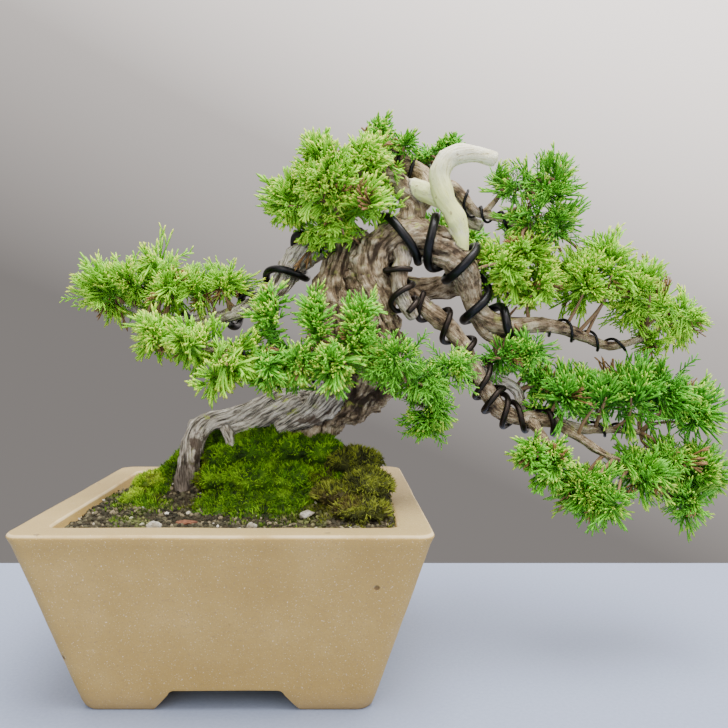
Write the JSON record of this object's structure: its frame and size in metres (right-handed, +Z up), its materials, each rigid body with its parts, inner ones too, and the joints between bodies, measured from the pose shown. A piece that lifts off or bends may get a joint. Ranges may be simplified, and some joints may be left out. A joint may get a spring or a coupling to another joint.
{
  "type": "potted bonsai tree",
  "caption": "Small wired juniper bonsai with a leaning trunk and drooping long limbs, rooted in mossy grit in a square tapered stoneware pot on corner feet.",
  "frame": {"origin": "on the table plane, under the middle of the whole tree and pot's bounding box", "axes": "+X from the pot towards the tip of the long limbs, which is the picture's right; +Y from the picture's front to the back; +Z up"},
  "size_m": [0.3272, 0.1736, 0.275],
  "materials": {
    "stoneware": "unglazed pale tan stoneware, fine speckle, matt",
    "net_plastic": "black moulded plastic net",
    "black_wire": "black anodised soft aluminium, satin",
    "brown_wire": "dark brown anodised soft aluminium, satin",
    "grit_soil": "dark mineral grit of fired clay and pumice, matt",
    "bright_moss": "short bright green moss",
    "olive_moss": "olive and brown moss",
    "pumice": "white pumice, matt",
    "bark_flake": "loose red-brown bark",
    "juniper_wood": "peeling grey-brown bark, with bleached deadwood at the crown",
    "foliage": "fine green juniper needles with yellow-green tips"
  },
  "bodies": {
    "root": {"bark_flake": "bark_flake", "drain_net": "net_plastic", "foliage_back": "foliage", "foliage_cascade_inner": "foliage", "foliage_cascade_lower": "foliage", "foliage_cascade_upper": "foliage", "foliage_crown_back": "foliage", "foliage_crown_left": "foliage", "foliage_crown_top": "foliage", "foliage_front_low": "foliage", "foliage_front_right": "foliage", "foliage_left_low": "foliage", "foliage_left_tip": "foliage", "foliage_right_inner": "foliage", "foliage_right_outer": "foliage", "foliage_right_upper": "foliage", "foliage_under_branch": "foliage", "moss_left_slope": "bright_moss", "moss_mound": "bright_moss", "moss_right_clump": "olive_moss", "net_clip": "black_wire", "pot": "stoneware", "pumice_back": "pumice", "pumice_left": "pumice", "pumice_middle": "pumice", "pumice_right": "pumice", "soil": "grit_soil", "trunk_and_branches": "juniper_wood", "wire_apex": "black_wire", "wire_cascade_first": "brown_wire", "wire_cascade_second": "brown_wire", "wire_cascade_tip": "brown_wire", "wire_cut_limb": "brown_wire", "wire_left_limb": "black_wire", "wire_left_tip": "black_wire", "wire_low_limb": "black_wire", "wire_right_limb": "black_wire", "wire_right_tip": "black_wire", "wire_upper_right": "black_wire"}
  },
  "joints": []
}
